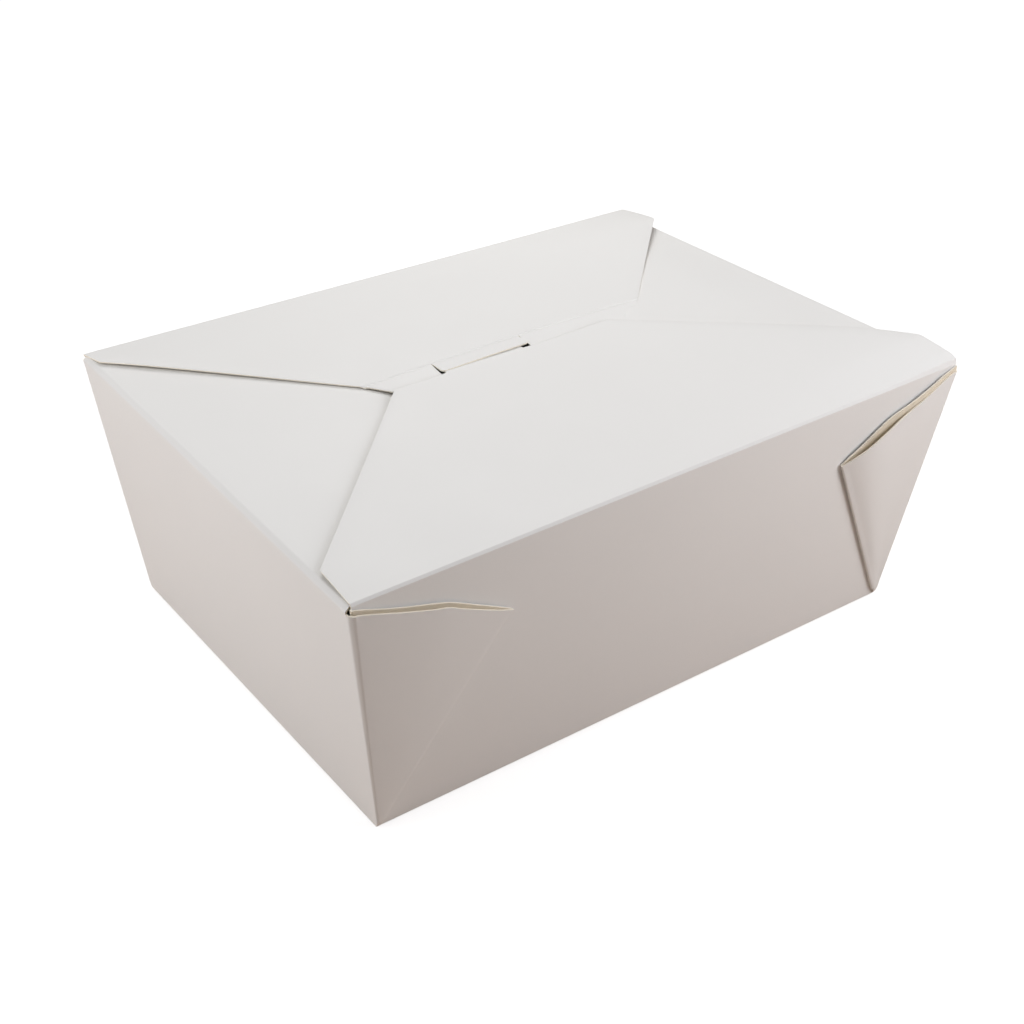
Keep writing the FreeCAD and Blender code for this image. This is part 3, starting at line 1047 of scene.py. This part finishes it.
# Floor: its size and its drop below the box in metres, its colours, and its glow, which grows
# from one distance from the box to another so that it shows white there.
FLOOR_SIZE = 6.0
FLOOR_DROP = 0.0003
FLOOR_BOUNCE = (0.58, 0.46, 0.38, 1.0)
FLOOR_PAPER = (0.50, 0.50, 0.50, 1.0)
FLOOR_GLOW_AT = (0.2, 0.6)
FLOOR_GLOW = (0.72, 1.0)

# Studio surround.
AROUND_COLOUR = (1.0, 0.92, 0.84, 1.0)
AROUND_STRENGTH = 0.08
WHITE = (1.0, 1.0, 1.0, 1.0)

# Soft disk lamps, with their target, distance and size in metres. Each has a name, an azimuth
# from +X and an elevation in degrees, a power in watts and a colour.
LAMP_TARGET = np.array((0.0, 0.0, 0.05))
LAMP_DISTANCE = 0.5
LAMP_SIZE = 0.3
LAMPS = (
    ("left_low", 172.0, 8.0, 0.76, (0.95, 0.97, 1.0)),
    ("left_high", 172.0, 42.0, 0.62, (0.98, 0.99, 1.0)),
    ("front_right", 301.0, 27.0, 1.11, (0.96, 0.97, 1.0)),
    ("front_right_high", 299.0, 50.0, 0.37, (1.0, 0.98, 0.99)),
    ("back_high", 63.0, 48.0, 1.22, (1.0, 1.0, 0.99)),
)

# Camera: angles in degrees, with azimuth 0 looking along +Y, then how far the box's origin is
# from the camera's axis and from the camera, and the focal length in the photograph's pixels.
CAMERA_AZIMUTH = -35.952
CAMERA_ELEVATION = 32.712
CAMERA_ROLL = 0.135
CAMERA_SHIFT_RIGHT = 1.737
CAMERA_SHIFT_UP = -25.762
CAMERA_DISTANCE = 472.854
CAMERA_CLIP = (0.01, 50.0)
FOCAL_PIXELS = 1376.906
PHOTO_PIXELS = 1024.0
SENSOR_WIDTH = 36.0


def camera_sees(tree, out, shown, other):
    """Sends one shader to the camera and another to every other ray."""
    path = tree.nodes.new("ShaderNodeLightPath")
    seen = tree.nodes.new("ShaderNodeMixShader")
    tree.links.new(path.outputs["Is Camera Ray"], seen.inputs[0])
    tree.links.new(other.outputs[0], seen.inputs[1])
    tree.links.new(shown.outputs[0], seen.inputs[2])
    tree.links.new(seen.outputs[0], out.inputs[0])


def pale_floor():
    """Paper that glows toward the camera, more so away from the box."""
    made = bpy.data.materials.new("pale_floor")
    made.use_nodes = True
    tree = made.node_tree
    tree.nodes.clear()
    out = tree.nodes.new("ShaderNodeOutputMaterial")
    bounce = tree.nodes.new("ShaderNodeBsdfDiffuse")
    bounce.inputs["Color"].default_value = FLOOR_BOUNCE
    sheet = tree.nodes.new("ShaderNodeBsdfDiffuse")
    sheet.inputs["Color"].default_value = FLOOR_PAPER
    glow = tree.nodes.new("ShaderNodeEmission")
    white = tree.nodes.new("ShaderNodeAddShader")
    place = tree.nodes.new("ShaderNodeTexCoord")
    length = tree.nodes.new("ShaderNodeVectorMath")
    length.operation = "LENGTH"
    tree.links.new(place.outputs["Object"], length.inputs[0])
    strength = spread(tree, length.outputs["Value"], FLOOR_GLOW_AT, FLOOR_GLOW)
    tree.links.new(strength, glow.inputs["Strength"])
    tree.links.new(sheet.outputs[0], white.inputs[0])
    tree.links.new(glow.outputs[0], white.inputs[1])
    camera_sees(tree, out, white, bounce)
    return made


def floor():
    """Plain pale floor that shows white to the camera and keeps the box's shadow."""
    bpy.ops.mesh.primitive_plane_add(size=FLOOR_SIZE, location=(0.0, 0.0, -FLOOR_DROP))
    plane = bpy.context.object
    plane.name = "floor"
    plane.data.materials.append(pale_floor())


def world():
    """Dim studio surround that the camera sees as white."""
    made = bpy.data.worlds.new("studio")
    bpy.context.scene.world = made
    made.use_nodes = True
    tree = made.node_tree
    tree.nodes.clear()
    out = tree.nodes.new("ShaderNodeOutputWorld")
    around = tree.nodes.new("ShaderNodeBackground")
    around.inputs["Color"].default_value = AROUND_COLOUR
    around.inputs["Strength"].default_value = AROUND_STRENGTH
    white = tree.nodes.new("ShaderNodeBackground")
    white.inputs["Color"].default_value = WHITE
    camera_sees(tree, out, white, around)


def placed(name, data, axes, place):
    """Object for a lamp's or camera's data, with its right, up and back axes."""
    made = bpy.data.objects.new(name, data)
    bpy.context.scene.collection.objects.link(made)
    made.matrix_world = Matrix.Translation(place) @ Matrix(axes).transposed().to_4x4()
    return made


def lamp(name, azimuth, elevation, power, colour):
    """Soft disk lamp at a distance from the box, its angles in degrees from +X and the floor."""
    azimuth, elevation = math.radians(azimuth), math.radians(elevation)
    back = np.array(
        (
            math.cos(azimuth) * math.cos(elevation),
            math.sin(azimuth) * math.cos(elevation),
            math.sin(elevation),
        )
    )
    data = bpy.data.lights.new(name, "AREA")
    data.shape = "DISK"
    data.size = LAMP_SIZE
    data.energy = power
    data.color = colour
    right = unit(np.cross((0.0, 0.0, 1.0), back))
    placed(name, data, (right, np.cross(back, right), back), LAMP_TARGET + LAMP_DISTANCE * back)


def camera():
    """Camera at the photograph's angle, height and distance."""
    azimuth, elevation = math.radians(CAMERA_AZIMUTH), math.radians(CAMERA_ELEVATION)
    roll = math.radians(CAMERA_ROLL)
    back = np.array(
        (
            math.sin(azimuth) * math.cos(elevation),
            -math.cos(azimuth) * math.cos(elevation),
            math.sin(elevation),
        )
    )
    level = np.array((math.cos(azimuth), math.sin(azimuth), 0.0))
    upright = np.cross(back, level)
    right = math.cos(roll) * level + math.sin(roll) * upright
    up = -math.sin(roll) * level + math.cos(roll) * upright
    place = (-CAMERA_SHIFT_RIGHT * right - CAMERA_SHIFT_UP * up + CAMERA_DISTANCE * back) / MM
    data = bpy.data.cameras.new("camera")
    data.sensor_width = SENSOR_WIDTH
    data.lens = SENSOR_WIDTH * FOCAL_PIXELS / PHOTO_PIXELS
    data.clip_start, data.clip_end = CAMERA_CLIP
    bpy.context.scene.camera = placed("camera", data, (right, up, back), place)


board_materials = (coated_board(), cut_edge(), uncoated_inside())
for piece in (make_carton(), make_front_flap()):
    dress(piece, board_materials)
floor()
world()
for settings in LAMPS:
    lamp(*settings)
camera()
bpy.context.scene.view_settings.view_transform = "Standard"
